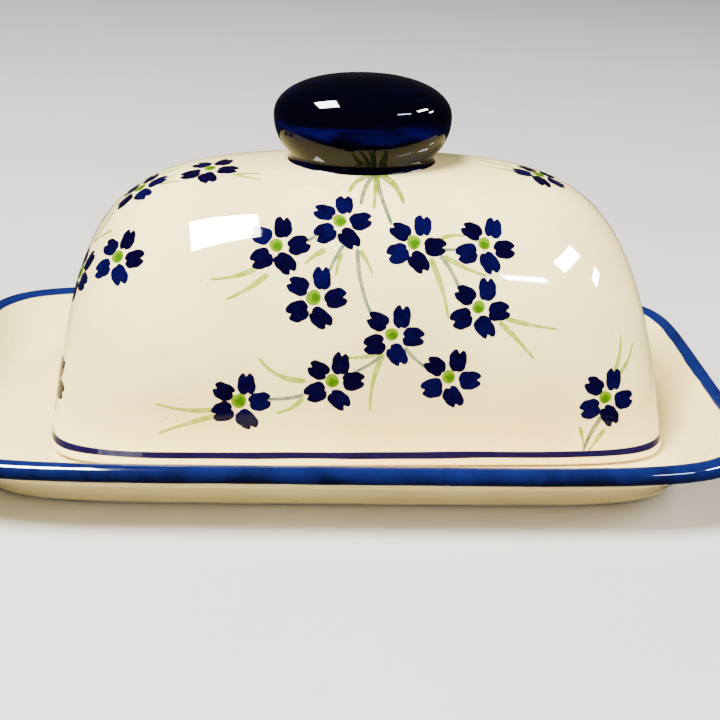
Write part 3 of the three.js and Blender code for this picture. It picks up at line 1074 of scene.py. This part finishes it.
class BUTTER_DISH_OT_knob(bpy.types.Operator):
    """Model the knob: a flattened bun on a drawn-in waist, luted to the cover's crown"""

    bl_idname = "butter_dish.knob"
    bl_label = "Knob"

    def execute(self, context):
        half = (KNOB_LENGTH / 2, KNOB_WIDTH / 2)
        waist = (half[0] - WAIST_END_SET, half[1] - WAIST_SIDE_SET)
        shoulder = KNOB_TOP - KNOB_CROWN
        waist_height = COVER_HEIGHT + KNOB_JOIN
        dome_steps, side_steps, flange_steps = 26, 16, 6

        def ring(x, y, z):
            return (x, y, z, KNOB_SQUARENESS)

        levels = [ring(0, 0, KNOB_TOP)]
        for i in range(1, dome_steps + 1):
            plan, rise = dome_at(RIGHT_ANGLE * (1 - i / dome_steps), KNOB_DOME_BOW)
            levels.append(ring(half[0] * plan, half[1] * plan, shoulder + KNOB_CROWN * rise))
        for i in range(1, side_steps + 1):
            t = i / side_steps
            x, y = (h + (w - h) * t**KNOB_SIDE_BOW for h, w in zip(half, waist))
            levels.append(ring(x, y, shoulder + (waist_height - shoulder) * t))
        for i in range(1, flange_steps + 1):
            angle = RIGHT_ANGLE * i / flange_steps
            grow = KNOB_FLANGE * (1 - math.cos(angle))
            z = waist_height - KNOB_JOIN * math.sin(angle)
            levels.append(ring(waist[0] + grow, waist[1] + grow, z))
        root = COVER_HEIGHT - KNOB_ROOT
        levels.append(ring(waist[0] + KNOB_FLANGE, waist[1] + KNOB_FLANGE, root))
        levels.append(ring(waist[0] / 2, waist[1] / 2, root))
        levels.append(ring(0, 0, root))
        knob = turned("knob_bun", levels, steps=128)
        self.settle(knob, waist_height)
        put_on(knob, knob_glaze(context.scene.glaze_colours))
        smooth(knob, degrees=50)
        seat_on_dish(knob)
        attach(knob, "cover")
        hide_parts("knob")
        return {"FINISHED"}

    def settle(self, knob, waist_height):
        """Lowers the knob's foot to follow the cover's crown, by less and less above the waist."""
        places = places_of(knob)
        settled_to = waist_height + 2
        low = places[:, 2] < settled_to
        spots = places[low]
        below = np.column_stack((spots[:, :2], np.full(len(spots), 20.0)))
        above = np.column_stack((spots[:, :2], np.full(len(spots), FAR)))
        drop = COVER_HEIGHT - meet_cover(above, below)[:, 2]
        share = np.clip((settled_to - spots[:, 2]) / (settled_to - COVER_HEIGHT), 0, 1)
        places[low, 2] -= drop * share**1.5
        move_places(knob, places)


class BUTTER_DISH_OT_border(bpy.types.Operator):
    """Brush the cobalt line round the bottom of the cover"""

    bl_idname = "butter_dish.border"
    bl_label = "Border line"

    def execute(self, context):
        sizes = context.scene.paint_sizes
        line = border_line(sizes.line_width, sizes.line_height)
        put_on(line, cobalt_underglaze(context.scene.glaze_colours, gloss=0.05))
        finish_paint(line)
        return {"FINISHED"}


class BUTTER_DISH_OT_flowers(bpy.types.Operator):
    """Stamp the flowers on the cover and dab in their centres"""

    bl_idname = "butter_dish.flowers"
    bl_label = "Flowers"

    def execute(self, context):
        colours = context.scene.glaze_colours
        scale = context.scene.paint_sizes.flower_scale
        petals = stamped_petals(scale)
        put_on(petals, cobalt_underglaze(colours))
        finish_paint(petals)
        eyes = dabbed_eyes(scale)
        put_on(eyes, eye_underglaze(colours))
        finish_paint(eyes)
        return {"FINISHED"}


class BUTTER_DISH_OT_leaves(bpy.types.Operator):
    """Brush the leaves and stems between the flowers"""

    bl_idname = "butter_dish.leaves"
    bl_label = "Leaves and stems"

    def execute(self, context):
        colours, paints = context.scene.glaze_colours, context.scene.paint_sizes
        leaves = self.placed(FRONT_LEAVES, FOOT_LEAVES, 0.4, CROWN_LEAVES, END_LEAVES)
        leaves = brushed("leaf_strokes", leaves, leaf_taper)
        green = ("leaf green underglaze", colours.leaf, colours.leaf_laden, 0.7)
        put_on(leaves, brushed_underglaze(*green, colours, paints))
        finish_paint(leaves)
        stems = self.placed(FRONT_STEMS, FOOT_STEMS, 1.3, CROWN_STEMS, END_STEMS)
        stems = brushed("stem_strokes", stems, stem_taper)
        green = ("grey-green underglaze", colours.stem, colours.stem_laden, 0.75)
        put_on(stems, brushed_underglaze(*green, colours, paints))
        finish_paint(stems)
        return {"FINISHED"}

    def placed(self, fronts, feet, foot_load, crowns, ends):
        """(view, strokes, load of paint): the front's strokes are repeated on the back."""
        strokes = [(side, fronts, 0) for side in ("front", "back")]
        strokes += [(side, feet, foot_load) for side in ("front", "back")]
        strokes += [(side, crowns, 1) for side in ("crown", "crown_back")]
        return strokes + [(end, group, 0) for end, group in ends.items()]


class BUTTER_DISH_OT_stage(bpy.types.Operator):
    """Set the pale floor, soft studio lights and the camera"""

    bl_idname = "butter_dish.stage"
    bl_label = "Stage"

    def execute(self, context):
        self.lay_floor(context.scene)
        self.hang_lamps()
        self.set_camera(context.scene)
        return {"FINISHED"}

    def lay_floor(self, scene):
        deselect()
        bpy.ops.mesh.primitive_circle_add(vertices=96, radius=4, fill_type="NGON")
        floor = bpy.context.object
        floor.name = "studio_floor"
        floor.visible_glossy = False  # the glaze mirrors a dim room, so its colours stay deep
        put_on(floor, floor_paper())
        world = bpy.data.worlds.new("soft studio")
        world.use_nodes = True
        background = world.node_tree.nodes["Background"]
        background.inputs["Color"].default_value = linear("#F3F1EE")
        background.inputs["Strength"].default_value = 0.06
        scene.world = world

    def hang_lamps(self):
        """Soft lamps light the object, and windows show only as the panels that it mirrors."""
        middle = Vector((0, 0, 45 * MM))
        # (direction, distance in metres, roll in degrees, sides in metres, watts, colour)
        soft_lamps = (
            ((-0.377, -0.29, 0.88), 1.1, -40, (0.44, 0.38), 56, "#FFFFFF"),
            ((0.765, -0.3, 0.57), 1.2, 0, (0.4, 0.3), 15, "#FFFFFF"),
            ((0.2, -0.86, 0.47), 0.52, 0, (0.6, 0.25), 1.7, "#FFFAF2"),
        )
        windows = (
            ((-0.377, -0.29, 0.88), 1.0, -40, (0.375, 0.315), 210, "#FFFFFF"),
            ((0.765, -0.191, 0.616), 1.2, 0, (0.36, 0.09), 42, "#FFFFFF"),
            ((0.565, -0.606, 0.559), 1.2, 0, (0.3, 0.045), 14, "#C9DDFF"),
            ((0.881, -0.062, 0.469), 1.2, 0, (0.19, 0.045), 11, "#FFFFFF"),
        )
        for group in (soft_lamps, windows):
            for direction, distance, roll, sides, watts, colour in group:
                away = Vector(direction).normalized()
                bpy.ops.object.light_add(type="AREA", location=middle + away * distance)
                lamp = bpy.context.object
                turn = Quaternion((0, 0, 1), math.radians(roll))
                lamp.rotation_euler = (away.to_track_quat("Z", "Y") @ turn).to_euler()
                lamp.data.shape = "RECTANGLE"
                lamp.data.size, lamp.data.size_y = sides
                lamp.data.energy = watts
                lamp.data.color = linear(colour)[:3]
                lamp.visible_glossy = group is windows
                lamp.visible_diffuse = group is soft_lamps

    def set_camera(self, scene):
        eye = Vector((-8.2, -312.7, 151.8)) * MM
        aim = Vector((7.1, 0.0, 19.8)) * MM
        bpy.ops.object.camera_add(location=eye)
        camera = bpy.context.object
        camera.rotation_mode = "QUATERNION"
        roll = Quaternion((0, 0, 1), math.radians(1.88))
        camera.rotation_quaternion = (aim - eye).to_track_quat("-Z", "Y") @ roll
        camera.data.lens = 64.8
        camera.data.sensor_width = 36
        camera.data.clip_start = 0.01
        scene.camera = camera


class BUTTER_DISH_PT_panel(bpy.types.Panel):
    bl_label = "Butter Dish"
    bl_idname = "BUTTER_DISH_PT_panel"
    bl_space_type = "VIEW_3D"
    bl_region_type = "UI"
    bl_category = "Butter Dish"

    def draw(self, context):
        for group in (context.scene.paint_sizes, context.scene.glaze_colours):
            for name in group.__annotations__:
                self.layout.prop(group, name)
        for operator in OPERATORS:
            self.layout.operator(operator.bl_idname)


OPERATORS = (
    BUTTER_DISH_OT_stage,
    BUTTER_DISH_OT_dish,
    BUTTER_DISH_OT_lip,
    BUTTER_DISH_OT_cover,
    BUTTER_DISH_OT_knob,
    BUTTER_DISH_OT_border,
    BUTTER_DISH_OT_flowers,
    BUTTER_DISH_OT_leaves,
)
CLASSES = (GlazeColours, PaintSizes) + OPERATORS + (BUTTER_DISH_PT_panel,)


def register():
    for cls in CLASSES:
        bpy.utils.register_class(cls)
    bpy.types.Scene.glaze_colours = bpy.props.PointerProperty(type=GlazeColours)
    bpy.types.Scene.paint_sizes = bpy.props.PointerProperty(type=PaintSizes)


def unregister():
    del bpy.types.Scene.paint_sizes
    del bpy.types.Scene.glaze_colours
    for cls in reversed(CLASSES):
        bpy.utils.unregister_class(cls)


def main():
    register()
    bpy.ops.butter_dish.stage()
    bpy.ops.butter_dish.dish()
    bpy.ops.butter_dish.lip()
    bpy.ops.butter_dish.cover()
    bpy.ops.butter_dish.knob()
    bpy.ops.butter_dish.border()
    bpy.ops.butter_dish.flowers()
    bpy.ops.butter_dish.leaves()


if __name__ == "__main__":
    main()
